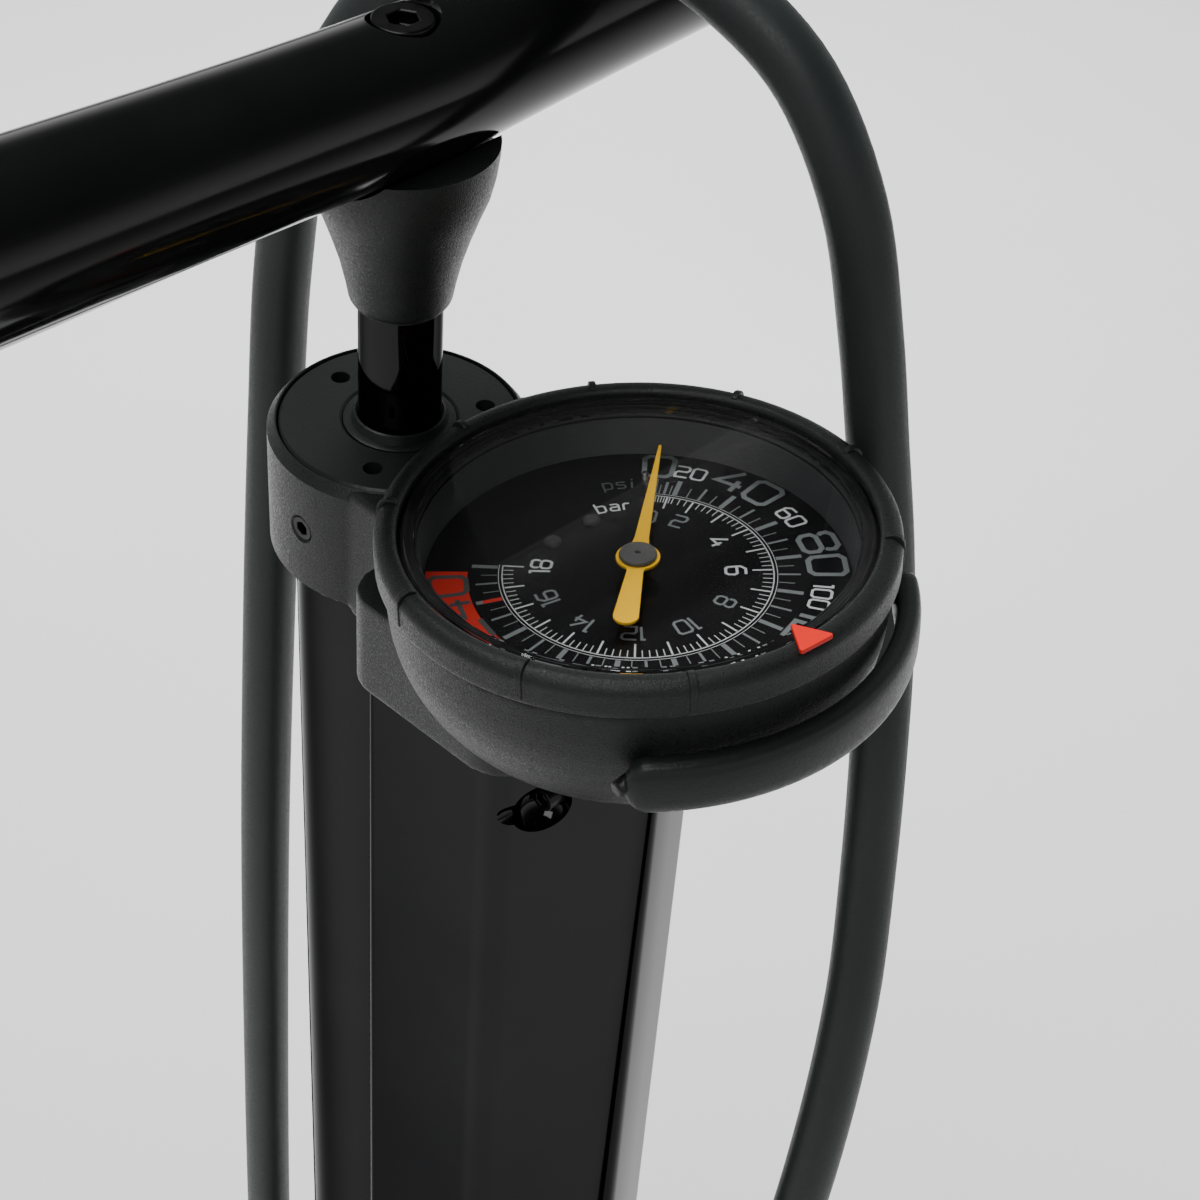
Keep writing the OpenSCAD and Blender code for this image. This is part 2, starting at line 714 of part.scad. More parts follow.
// Glossy grip, swelling a little towards its ends
module handle_shell() {
    h = handle_half;
    profile = [
        [0, -2], [14.2, -2], [14.2, 22], [14.5, 50], [15, 76], [15.5, 100], [15.9, h - 20], [15.9, h - 12],
        [15.4, h - 7], [14.4, h - 4], [0, h - 4]
    ];
    color(BLACK_GLOSS) difference() {
        arms() rotate([0, 90, 0]) rotate_extrude($fn = 96) polygon(profile);
        arms() translate([-4, 0, 0]) rotate([0, 90, 0]) cylinder(r = 9 + slip, h = h + 20);
        translate([0, 0, handle_z - 25]) cylinder(r = rod_r + slip, h = 25);
        translate([0, 0, handle_z]) cylinder(r = 6.2, h = 30);
    }
}

module handle_end_caps() {
    color(RUBBER) arms() translate([handle_half - 4, 0, 0]) rotate([0, 90, 0]) {
        cylinder(r = 13.6, h = 2.4);
        translate([0, 0, 2.4]) cylinder(r1 = 13.6, r2 = 11.6, h = 1.6);
        translate([0, 0, -8]) cylinder(r = 7 - slip, h = 9);
    }
}

module handle_bolt() {
    color(STEEL) translate([0, 0, handle_z]) difference() {
        union() {
            translate([0, 0, -26]) cylinder(r = 3, h = 37);
            translate([0, 0, 9.45]) cylinder(r = 5.6, h = 4.3);
        }
        translate([0, 0, 11]) cylinder(r = 2.9, h = 6, $fn = 6);
    }
}

// ---------------------------------------------------------------- hose and chuck

// Elbow screwed into the back of the base, opening upwards
module hose_elbow() {
    color(STEEL) difference() {
        union() {
            translate([0, outlet_y, duct_z]) rotate([90, 0, 0]) cylinder(r = 5, h = outlet_y - 18);
            translate([0, outlet_y - 10, duct_z]) rotate([90, 0, 0]) cylinder(r = 8, h = outlet_y - 40.5, $fn = 6);
            translate([0, outlet_y, duct_z - 7]) cylinder(r = 7.4, h = outlet_top - duct_z + 7);
        }
        translate([0, outlet_y, duct_z]) cylinder(r = 2.5, h = 60);
        translate([0, outlet_y, duct_z]) rotate([90, 0, 0]) cylinder(r = 2.5, h = 60);
    }
}

module hose_ferrule() {
    color(STEEL) translate([0, outlet_y, outlet_top]) tube(7.4, hose_r + 0.15, 20);
}

module hose() {
    color(RUBBER) swept_tube(smooth_path(hose_route, 2), hose_r, 12, [1, 0, 0]);
}

module chuck_ferrule() {
    color(STEEL) translate([0, -chuck_y, chuck_top]) tube(7.4, hose_r + 0.15, 18);
}

// Chuck, hanging head down: neck above, valve socket below, ears for the thumb lever in front
chuck_pivot_z = 160;
chuck_pivot_y = chuck_y + 15;
module chuck_body() {
    color(BLACK_MOULDED) difference() {
        union() {
            translate([0, -chuck_y, 172]) cylinder(r = 7.6, h = chuck_top - 172);
            translate([0, -chuck_y, 166]) cylinder(r1 = 11, r2 = 7.6, h = 6);
            translate([0, -chuck_y, 122]) cylinder(r = 11, h = 44);
            for (x = [-8.6, 5]) translate([x, -chuck_pivot_y - 3.5, chuck_pivot_z - 4.5]) cube([3.6, 12, 9]);
        }
        translate([0, -chuck_y, 100]) cylinder(r = 7, h = 34);
        translate([0, -chuck_y, 120]) cylinder(r = 2.5, h = 90);
        translate([-20, -chuck_pivot_y, chuck_pivot_z]) rotate([0, 90, 0]) cylinder(r = 1.5 + slip, h = 40);
    }
}

module chuck_seal() {
    color(SEAL) translate([0, -chuck_y, 124]) tube(6.9, 4.2, 9.5);
}

module chuck_nut() {
    color(BLACK_GLOSS) translate([0, -chuck_y, chuck_low]) difference() {
        union() {
            cylinder(r = 10.4, h = 9.8);
            translate([0, 0, 9.8]) cylinder(r = 6.9, h = 2);
        }
        translate([0, 0, -1]) cylinder(r = 4.2, h = 20);
        for (a = [0:30:330]) rotate([0, 0, a]) translate([10.9, 0, -1]) cylinder(r = 1, h = 12);
    }
}

// Thumb lever; it lies down along the chuck and swings out and up
module chuck_lever() {
    color(RED) difference() {
        union() {
            translate([-4.6, -chuck_pivot_y, chuck_pivot_z]) rotate([0, 90, 0]) cylinder(r = 3.6, h = 9.2);
            translate([-4.6, -chuck_pivot_y - 3.6, chuck_pivot_z - 36]) cube([9.2, 4.2, 36]);
            translate([-7, -chuck_pivot_y - 3.6, chuck_pivot_z - 38]) cube([14, 4.2, 24]);
        }
        translate([-20, -chuck_pivot_y, chuck_pivot_z]) rotate([0, 90, 0]) cylinder(r = 1.5 + slip, h = 40);
    }
}

module chuck_pin() {
    color(STEEL) translate([-9, -chuck_pivot_y, chuck_pivot_z]) rotate([0, 90, 0]) cylinder(r = 1.5, h = 18);
}

// Spring clip on the front ridge of the chamber that the chuck's barrel snaps into
module chuck_holder() {
    clip_z = 134;
    clip_h = 16;
    color(BLACK_MOULDED) difference() {
        union() {
            translate([0, -chuck_y, clip_z]) cylinder(r = 13.8, h = clip_h);
            translate([-9, -82, clip_z]) cube([18, 16, clip_h]);
            translate([-16, -82, clip_z - 4]) cube([32, 20, clip_h + 8]);
        }
        translate([0, -chuck_y, clip_z - 10]) cylinder(r = 11 + slip, h = clip_h + 20);
        translate([-9.2, -chuck_y - 30, clip_z - 10]) cube([18.4, 26, clip_h + 20]);
        translate([0, 0, clip_z - 10]) linear_extrude(height = clip_h + 20) polygon(chamber_outline(slip));
    }
}

// ---------------------------------------------------------------- pieces

base_plate();
rubber_feet();
foot_treads();
base_casting();
base_bolts();
barrel_tube();
barrel_lower_gasket();
barrel_upper_gasket();
chamber_tube();
chamber_lower_gasket();
chamber_upper_gasket();
chamber_screws();
valve_seat();
check_ball();
check_spring();
head_housing();
barrel_cap();
rod_bush();
rod_seal();
collar_screw();
gauge_case();
bourdon_tube();
gauge_stem();
sector_gear();
sector_pin();
needle_arbor();
gauge_needle();
needle_cap();
dial_plate();
dial_rivets();
stop_pin();
lens_gasket();
gauge_lens();
bezel_ring();
pressure_marker();
release_lever();
lever_pins();
release_plunger();
plunger_seal();
piston_rod();
piston_head();
piston_seal();
piston_nut();
hub_cone();
handle_core();
handle_shell();
handle_end_caps();
handle_bolt();
hose_elbow();
hose_ferrule();
hose();
chuck_ferrule();
chuck_body();
chuck_seal();
chuck_nut();
chuck_lever();
chuck_pin();
chuck_holder();
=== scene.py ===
import json
import math

import bmesh
import bpy
from mathutils import Matrix, Vector

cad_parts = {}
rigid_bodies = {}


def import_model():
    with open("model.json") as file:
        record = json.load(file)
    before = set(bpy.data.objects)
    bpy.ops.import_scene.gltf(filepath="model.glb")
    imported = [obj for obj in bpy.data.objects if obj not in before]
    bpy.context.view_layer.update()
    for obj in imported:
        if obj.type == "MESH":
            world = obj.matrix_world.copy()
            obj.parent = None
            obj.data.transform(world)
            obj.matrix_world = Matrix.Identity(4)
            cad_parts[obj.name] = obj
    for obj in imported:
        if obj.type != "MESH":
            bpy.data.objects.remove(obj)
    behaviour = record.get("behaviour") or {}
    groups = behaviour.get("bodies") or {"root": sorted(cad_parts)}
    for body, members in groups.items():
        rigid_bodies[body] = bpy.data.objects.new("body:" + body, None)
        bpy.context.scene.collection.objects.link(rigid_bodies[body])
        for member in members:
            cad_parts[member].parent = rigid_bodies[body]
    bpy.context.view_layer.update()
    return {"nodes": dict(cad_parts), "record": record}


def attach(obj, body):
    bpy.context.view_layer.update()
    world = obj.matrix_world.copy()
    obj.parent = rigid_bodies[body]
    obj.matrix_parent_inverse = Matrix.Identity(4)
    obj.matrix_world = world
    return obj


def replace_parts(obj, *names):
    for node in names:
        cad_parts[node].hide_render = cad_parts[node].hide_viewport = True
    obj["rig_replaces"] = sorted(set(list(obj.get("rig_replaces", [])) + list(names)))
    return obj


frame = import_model()
NODES = frame["nodes"]
SLOT = {p["node"]: p["material_slot"] for p in frame["record"]["subparts"]}
MM = 0.001
HEAD = 612.0  # height of the head's flat top
GAUGE_Y = -61.5  # the gauge's centre, in front of the barrel's axis
GAUGE_LIFT = 12.5  # the gauge's centre, over the head's top
GAUGE_TILT = -5.5  # degrees; the gauge's face leans towards the barrel
GAUGE = (Matrix.Translation((0, GAUGE_Y * MM, (HEAD + GAUGE_LIFT) * MM))
         @ Matrix.Rotation(math.radians(GAUGE_TILT), 4, "X"))
UNMOVED = Matrix.Identity(4)


# ------------------------------------------------------------------ camera

# The camera: degrees, and millimetres
AZIMUTH = -49.47
ELEVATION = 41.01
ROLL = 4.667
LENS = 72.03  # on a sensor 36 mm wide
CAMERA_PLACE = (-254.08, -271.52, HEAD + 278.84)


def camera():
    a = math.radians(AZIMUTH)
    e = math.radians(ELEVATION)
    roll = math.radians(ROLL)
    back = Vector((math.sin(a) * math.cos(e), -math.cos(a) * math.cos(e), math.sin(e)))
    right = Vector((math.cos(a), math.sin(a), 0))
    up = back.cross(right)
    r = right * math.cos(roll) + up * math.sin(roll)
    u = up * math.cos(roll) - right * math.sin(roll)
    cam = bpy.data.cameras.new("camera")
    cam.lens = LENS
    cam.sensor_width = 36
    cam.clip_start = 0.01
    obj = bpy.data.objects.new("camera", cam)
    bpy.context.scene.collection.objects.link(obj)
    place = Vector(CAMERA_PLACE) * MM
    obj.matrix_world = Matrix((
        (r.x, u.x, back.x, place.x),
        (r.y, u.y, back.y, place.y),
        (r.z, u.z, back.z, place.z),
        (0, 0, 0, 1)))
    bpy.context.scene.camera = obj


camera()


# ------------------------------------------------------------------ materials

def material(name):
    m = bpy.data.materials.new(name)
    m.use_nodes = True
    return m, m.node_tree.nodes, m.node_tree.links, m.node_tree.nodes["Principled BSDF"]


def noise(nodes, links, scale, detail=2.0, rough=0.5):
    coord = nodes.new("ShaderNodeTexCoord")
    n = nodes.new("ShaderNodeTexNoise")
    n.inputs["Scale"].default_value = scale
    n.inputs["Detail"].default_value = detail
    n.inputs["Roughness"].default_value = rough
    links.new(coord.outputs["Object"], n.inputs["Vector"])
    return n


def ramp(nodes, links, source, stops):
    """Colours at the given positions, read from a node's value."""
    r = nodes.new("ShaderNodeValToRGB")
    for element, (p, c) in zip(r.color_ramp.elements, (stops[0], stops[-1])):
        element.position = p
        element.color = (*c, 1)
    for p, c in stops[1:-1]:
        r.color_ramp.elements.new(p).color = (*c, 1)
    links.new(source, r.inputs["Fac"])
    return r.outputs["Color"]


def bump(nodes, links, source, strength, distance, onto, below=None):
    b = nodes.new("ShaderNodeBump")
    b.inputs["Strength"].default_value = strength
    b.inputs["Distance"].default_value = distance
    links.new(source, b.inputs["Height"])
    if below:
        links.new(below, b.inputs["Normal"])
    if onto:
        links.new(b.outputs["Normal"], onto)
    return b.outputs["Normal"]


def surface(name, base, rough, spread=0.25, grain=0.0, grain_scale=1400, metal=0.0, coat=0.0,
            rough_spread=0.06, large=0.0, specular=0.5, edge=1.0):
    """Colour drifts over the piece, roughness varies finely, and grain and large waves stand up as bump.

    edge tints the reflection at grazing angles.
    """
    m, nodes, links, p = material(name)
    wide = noise(nodes, links, 28, 3)
    dark = tuple(c * (1 - spread) for c in base)
    light = tuple(min(1, c * (1 + spread)) for c in base)
    links.new(ramp(nodes, links, wide.outputs["Fac"], [(0.3, dark), (0.7, light)]), p.inputs["Base Color"])
    fine = noise(nodes, links, grain_scale, 3, 0.6)
    low = max(0.02, rough - rough_spread)
    high = min(1, rough + rough_spread)
    links.new(ramp(nodes, links, fine.outputs["Fac"], [(0.3, (low,) * 3), (0.7, (high,) * 3)]),
              p.inputs["Roughness"])
    normal = None
    if large:
        soft = noise(nodes, links, 40, 2)
        normal = bump(nodes, links, soft.outputs["Fac"], 0.3, large, None)
    if grain:
        bump(nodes, links, fine.outputs["Fac"], 0.6, grain, p.inputs["Normal"], normal)
    elif normal:
        links.new(normal, p.inputs["Normal"])
    p.inputs["Metallic"].default_value = metal
    p.inputs["Specular IOR Level"].default_value = specular
    p.inputs["Specular Tint"].default_value = (edge, edge, edge, 1)
    p.inputs["Coat Weight"].default_value = coat
    p.inputs["Coat Roughness"].default_value = 0.05
    return m


def brushed(name, base, rough=0.3):
    """Bare metal with fine level scratches."""
    m, nodes, links, p = material(name)
    n = noise(nodes, links, 300, 4)
    scratch = nodes.new("ShaderNodeMapping")
    scratch.inputs["Scale"].default_value = (1, 1, 12)
    links.new(nodes["Texture Coordinate"].outputs["Object"], scratch.inputs["Vector"])
    links.new(scratch.outputs["Vector"], n.inputs["Vector"])
    links.new(ramp(nodes, links, n.outputs["Fac"], [(0.35, tuple(c * 0.8 for c in base)), (0.65, base)]),
              p.inputs["Base Color"])
    links.new(ramp(nodes, links, n.outputs["Fac"], [(0.3, (rough - 0.1,) * 3), (0.7, (rough + 0.12,) * 3)]),
              p.inputs["Roughness"])
    bump(nodes, links, n.outputs["Fac"], 0.25, 0.00005, p.inputs["Normal"])
    p.inputs["Metallic"].default_value = 1.0
    return m


def clear():
    """Clear plastic that lets light through to what is under it."""
    m, nodes, links, p = material("lens clear")
    smear = noise(nodes, links, 90, 3)
    links.new(ramp(nodes, links, smear.outputs["Fac"], [(0.4, (0.01,) * 3), (0.8, (0.035,) * 3)]),
              p.inputs["Roughness"])
    p.inputs["Base Color"].default_value = (1, 1, 1, 1)
    p.inputs["Transmission Weight"].default_value = 1.0
    p.inputs["IOR"].default_value = 1.49
    through = nodes.new("ShaderNodeBsdfTransparent")
    mix = nodes.new("ShaderNodeMixShader")
    path = nodes.new("ShaderNodeLightPath")
    links.new(path.outputs["Is Shadow Ray"], mix.inputs[0])
    links.new(p.outputs["BSDF"], mix.inputs[1])
    links.new(through.outputs["BSDF"], mix.inputs[2])
    links.new(mix.outputs["Shader"], nodes["Material Output"].inputs["Surface"])
    return m


MATS = {
    "gloss_black": surface("glossy black lacquer", (0.036, 0.036, 0.037), 0.07, rough_spread=0.02,
                           grain_scale=60, large=0.00003, metal=1.0, edge=0.4, spread=0.04),
    "gloss_plastic": surface("glossy black plastic", (0.004, 0.0042, 0.0042), 0.12, rough_spread=0.03,
                             grain_scale=80, large=0.00006, specular=0.4),
    "painted_black": surface("powder coated steel", (0.018, 0.019, 0.02), 0.42, grain=0.00012,
                             grain_scale=900),
    "moulded": surface("grained black moulding", (0.0108, 0.0123, 0.0118), 0.42, spread=0.15, grain=0.00022,
                       grain_scale=2600, rough_spread=0.22, specular=0.45),
    "moulded_satin": surface("satin black moulding", (0.0145, 0.0165, 0.016), 0.4, spread=0.12, grain=0.0001,
                             grain_scale=1500, rough_spread=0.1, specular=0.4),
    "rubber": surface("matte black rubber", (0.014, 0.0145, 0.014), 0.72, grain=0.0001, grain_scale=1100),
    "hose": surface("hose rubber", (0.02, 0.0255, 0.0245), 0.5, spread=0.12, grain=0.00005, grain_scale=1600,
                    rough_spread=0.08, large=0.00006),
    "seal": surface("seal rubber", (0.01, 0.01, 0.0105), 0.6, grain=0.00004, grain_scale=2000),
    "steel": brushed("plated steel", (0.55, 0.55, 0.56)),
    "brass": brushed("brass", (0.66, 0.47, 0.2), 0.32),
    "amber": surface("amber enamel", (0.9, 0.5, 0.003), 0.38, spread=0.06, grain=0.00002,
                     grain_scale=1800, coat=0.3),
    "red": surface("red moulding", (0.72, 0.012, 0.006), 0.5, spread=0.08, grain=0.00006, grain_scale=1500),
    "dial": surface("dial lacquer", (0.005, 0.005, 0.0055), 0.16, spread=0.2, grain=0.00001, grain_scale=1800,
                    rough_spread=0.04),
    "clear": clear(),
}
PRINT_WHITE = surface("dial print white", (0.5, 0.52, 0.52), 0.5, spread=0.05, grain_scale=2000)
PRINT_GREY = surface("dial print grey", (0.15, 0.165, 0.165), 0.5, spread=0.08, grain_scale=2000)
PRINT_DIM = surface("dial print dim", (0.05, 0.055, 0.055), 0.5, spread=0.08, grain_scale=2000)
PRINT_RED = surface("dial print red", (0.5, 0.02, 0.012), 0.45, spread=0.06, grain_scale=2000)
DARK_STEEL = brushed("blackened steel", (0.05, 0.05, 0.052), 0.35)
CAP_STEEL = surface("needle cap steel", (0.11, 0.11, 0.11), 0.32, metal=0.35, grain=0.00002, grain_scale=2400)
RIVET = surface("dark rivet", (0.05, 0.05, 0.052), 0.22, metal=0.3, grain_scale=2400)


# ------------------------------------------------------------------ mesh helpers

def finish_mesh(obj, mat, body, angle=35):
    """One material, smooth faces with edges sharper than the angle kept and a body."""
    obj.data.materials.clear()
    obj.data.materials.append(mat)
    if obj.type == "MESH":
        for f in obj.data.polygons:
            f.use_smooth = True
        obj.data.set_sharp_from_angle(angle=math.radians(angle))
    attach(obj, body)
    return obj


def from_bmesh(bm, name, mat, body, place=UNMOVED, angle=35):
    """A finished piece from a bmesh in millimetres, moved by place, which is in metres."""
    bmesh.ops.remove_doubles(bm, verts=bm.verts, dist=1e-4)
    bmesh.ops.recalc_face_normals(bm, faces=bm.faces)
    bm.transform(Matrix.Scale(MM, 4))
    bm.transform(place)
    mesh = bpy.data.meshes.new(name)
    bm.to_mesh(mesh)
    bm.free()
    obj = bpy.data.objects.new(name, mesh)
    bpy.context.scene.collection.objects.link(obj)
    return finish_mesh(obj, mat, body, angle)


def lathe(bm, profile, steps, axis="Z"):
    """Turns a closed profile of (radius, height) points round an axis."""
    turn = {"Z": Matrix.Identity(3), "X": Matrix.Rotation(math.radians(90), 3, "Y")}[axis]
    rings = []
    for i in range(steps):
        a = 2 * math.pi * i / steps
        rings.append([bm.verts.new(turn @ Vector((r * math.cos(a), r * math.sin(a), z)))
                      for r, z in profile])
    n = len(profile)
    for i in range(steps):
        a, b = rings[i], rings[(i + 1) % steps]
        for j in range(n):
            k = (j + 1) % n
            if profile[j][0] < 1e-6 and profile[k][0] < 1e-6:
                continue
            if profile[j][0] < 1e-6:
                bm.faces.new((a[j], b[k], a[k]))
            elif profile[k][0] < 1e-6:
                bm.faces.new((a[j], b[j], a[k]))
            else:
                bm.faces.new((a[j], b[j], b[k], a[k]))


def skin(bm, rings):
    """Closed skin over rings of equal count, with a face on each end."""
    n = len(rings[0])
    for a, b in zip(rings, rings[1:]):
        for i in range(n):
            bm.faces.new((a[i], b[i], b[(i + 1) % n], a[(i + 1) % n]))
    bm.faces.new(rings[0])
    bm.faces.new(list(reversed(rings[-1])))


def add_part(bm, part):
    """Adds one bmesh to another and frees it."""
    mesh = bpy.data.meshes.new("part")
    part.to_mesh(mesh)
    part.free()
    bm.from_mesh(mesh)
    bpy.data.meshes.remove(mesh)


def arc(cx, cy, r, a0, a1, n):
    """Points round a centre, between two angles in degrees."""
    return [(cx + r * math.cos(math.radians(a0 + (a1 - a0) * i / n)),
             cy + r * math.sin(math.radians(a0 + (a1 - a0) * i / n))) for i in range(n + 1)]


def prism(bm, outline, z0, z1):
    """Closed prism over a plan outline."""
    low = [bm.verts.new((x, y, z0)) for x, y in outline]
    high = [bm.verts.new((x, y, z1)) for x, y in outline]
    n = len(outline)
    bm.faces.new(high)
    bm.faces.new(list(reversed(low)))
    for i in range(n):
        bm.faces.new((low[i], low[(i + 1) % n], high[(i + 1) % n], high[i]))


def bevel(obj, width, angle=35):
    b = obj.modifiers.new("bevel", "BEVEL")
    b.width = width * MM
    b.segments = 2
    b.limit_method = "ANGLE"
    b.angle_limit = math.radians(angle)
    b.harden_normals = True


def cutter(profile, steps, axis="Z", move=UNMOVED, place=UNMOVED):
    """A turned body to cut with: move is in millimetres and place in metres."""
    bm = bmesh.new()
    lathe(bm, profile, steps, axis)
    bmesh.ops.recalc_face_normals(bm, faces=bm.faces)
    bm.transform(move)
    bm.transform(Matrix.Scale(MM, 4))
    bm.transform(place)
    mesh = bpy.data.meshes.new("cutter")
    bm.to_mesh(mesh)
    bm.free()
    return bpy.data.objects.new("cutter", mesh)


def carve(obj, cut):
    """Takes a cutter out of a piece and removes the cutter."""
    bpy.context.scene.collection.objects.link(cut)
    m = obj.modifiers.new("cut", "BOOLEAN")
    m.operation = "DIFFERENCE"
    m.object = cut
    m.solver = "EXACT"
    bpy.context.view_layer.update()
    done = bpy.data.meshes.new_from_object(obj.evaluated_get(bpy.context.evaluated_depsgraph_get()))
    obj.modifiers.remove(m)
    obj.data = done
    bpy.data.objects.remove(cut)


def dress(node, width, mat):
    """A CAD piece keeps its mesh; its edges are broken by width and it gets its finish."""
    o = NODES[node]
    custom = o.data.attributes.get("custom_normal")
    if custom:
        o.data.attributes.remove(custom)
    o.data.materials.clear()
    o.data.materials.append(mat)
    for f in o.data.polygons:
        f.use_smooth = True
    w = o.modifiers.new("weld", "WELD")
    w.merge_threshold = 1e-6
    d = o.modifiers.new("planar", "DECIMATE")
    d.decimate_type = "DISSOLVE"
    d.angle_limit = math.radians(0.5)
    if width:
        bevel(o, width, 30)


# ------------------------------------------------------------------ hose

# From the base's outlet, up behind the barrel, over the handle's arm and down to the parked chuck
ROUTE = [
    (0, 53, 42.4), (0, 53, 80), (0, 54, 140), (1, 55, 210), (2, 55, 290), (4, 55, 370), (6, 54, 450),
    (9, 53, 520), (12, 52, 575), (14, 50, 617), (16, 45, 648), (23, 33, 677), (30, 15, 700), (36, 0, 706.5),
    (41, -16, 704.5),
    (44.5, -34, 699.5), (47, -51, 689), (49, -63.5, 669), (51, -70, 644), (53.3, -74, 620),
    (55.5, -78, 596), (56, -82, 572), (54.2, -86, 550), (51, -91, 520), (45, -97, 485), (36, -101, 445),
    (26, -102, 400), (15, -100, 350), (6, -96, 300), (1, -93, 255), (0, -92, 225), (0, -92, 196.4)]


def smooth_path(points, pieces):
    """A smooth curve through the points, as a run of short straight pieces."""
    p = [Vector(q) for q in points]
    out = []
    for i in range(len(p) - 1):
        a, b, c, d = p[max(i - 1, 0)], p[i], p[i + 1], p[min(i + 2, len(p) - 1)]
        for j in range(pieces):
            t = j / pieces
            out.append(0.5 * (2 * b + (c - a) * t + (2 * a - 5 * b + 4 * c - d) * t * t
                              + (3 * b - a - 3 * c + d) * t ** 3))
    return out + [p[-1]]


def make_hose():
    path = smooth_path(ROUTE, 6)
    curve = bpy.data.curves.new("hose", "CURVE")
    curve.dimensions = "3D"
    curve.bevel_depth = 6 * MM
    curve.bevel_resolution = 7
    curve.use_fill_caps = True
    s = curve.splines.new("POLY")
    s.points.add(len(path) - 1)
    for q, v in zip(s.points, path):
        q.co = (*(v * MM), 1)
    s.use_smooth = True
    obj = bpy.data.objects.new("hose_skin", curve)
    bpy.context.scene.collection.objects.link(obj)
    finish_mesh(obj, MATS["hose"], "frame")
    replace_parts(obj, "hose")


make_hose()


# ------------------------------------------------------------------ tubes, rod, cap

def rounded_outline(points, radii):
    """An outline with its corners rounded by arcs."""
    step = 4  # degrees, the most that one side of an arc turns
    out = []
    n = len(points)
    for i in range(n):
        a, b, c = (Vector(points[(i - 1) % n]), Vector(points[i]), Vector(points[(i + 1) % n]))
        u, w = (a - b).normalized(), (c - b).normalized()
        half = math.acos(max(-1, min(1, u.dot(w)))) / 2
        centre = b + (u + w).normalized() * radii[i] / math.sin(half)
        a0 = math.degrees(math.atan2(-(b - a).x, (b - a).y))
        a1 = math.degrees(math.atan2(-(c - b).x, (c - b).y))
        if a1 < a0:
            a1 += 360
        sides = max(2, math.ceil((a1 - a0) / step))
        out += arc(centre.x, centre.y, radii[i], a0, a1, sides)
    return out


PIN_HOLES_R = 17  # the cap's three holes stand on this circle
CASE_ROOM_R = 40.5  # room for the gauge case in the cap and the collar


def round_centre(r, angle):
    """A move to a place on a circle, its angle in degrees."""
    a = math.radians(angle)
    return Matrix.Translation((r * math.cos(a), r * math.sin(a), 0))


def make_rod():
    bm = bmesh.new()
    top, low = 674.7, 54.0
    lathe(bm, [(0, low), (7.4, low), (8, low + 0.6), (8, 250), (8, 450), (8, top - 0.6), (7.4, top),
               (0, top)], 96)
    obj = from_bmesh(bm, "rod_skin", MATS["gloss_black"], "plunger")
    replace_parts(obj, "piston_rod")


def make_barrel():
    bm = bmesh.new()
    low, top, r = 35.5, 600.0, 20.5
    bore = 18.5
    lathe(bm, [(bore, low), (r, low), (r, 200), (r, 400), (r, top), (bore, top), (bore, 400),
               (bore, 200)], 160)
    obj = from_bmesh(bm, "barrel_skin", MATS["gloss_black"], "frame")
    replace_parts(obj, "barrel_tube")


def make_cap():
    bm = bmesh.new()
    z0, z1 = HEAD - 8, HEAD
    lathe(bm, [(13.6, z0), (23.2, z0), (23.2, z1 - 0.5), (22.7, z1), (11.6, z1), (11.1, z1 - 0.5),
               (11.1, z0 + 2.4), (13.6, z0 + 2.4)], 160)
    obj = from_bmesh(bm, "cap_skin", MATS["moulded_satin"], "frame")
    pin_hole = [(0, z1 - 4), (1.8, z1 - 4), (1.8, z1 - 0.4), (2.2, z1 + 1), (0, z1 + 1)]
    for a in (90, 210, 330):
        carve(obj, cutter(pin_hole, 40, move=round_centre(PIN_HOLES_R, a)))
    carve(obj, cutter([(0, -28), (CASE_ROOM_R, -28), (CASE_ROOM_R, 30), (0, 30)], 96, place=GAUGE))
    finish_mesh(obj, MATS["moulded_satin"], "frame")
    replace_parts(obj, "barrel_cap")


def make_bush():
    bm = bmesh.new()
    z = HEAD - 8
    lathe(bm, [(8.05, z), (13.4, z), (13.4, z + 2.2), (10.9, z + 2.2), (10.9, HEAD - 0.2), (10.5, HEAD),
               (9.4, HEAD), (9.2, HEAD + 0.5), (8.9, HEAD + 1.6), (8.5, HEAD + 1.8), (8.05, HEAD + 1.2)], 128)
    obj = from_bmesh(bm, "bush_skin", MATS["moulded_satin"], "frame")
    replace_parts(obj, "rod_bush")


make_rod()
make_barrel()
make_cap()
make_bush()


# ------------------------------------------------------------------ head moulding

BEZEL_ROOM_R = 47.4  # room for the bezel in the collar


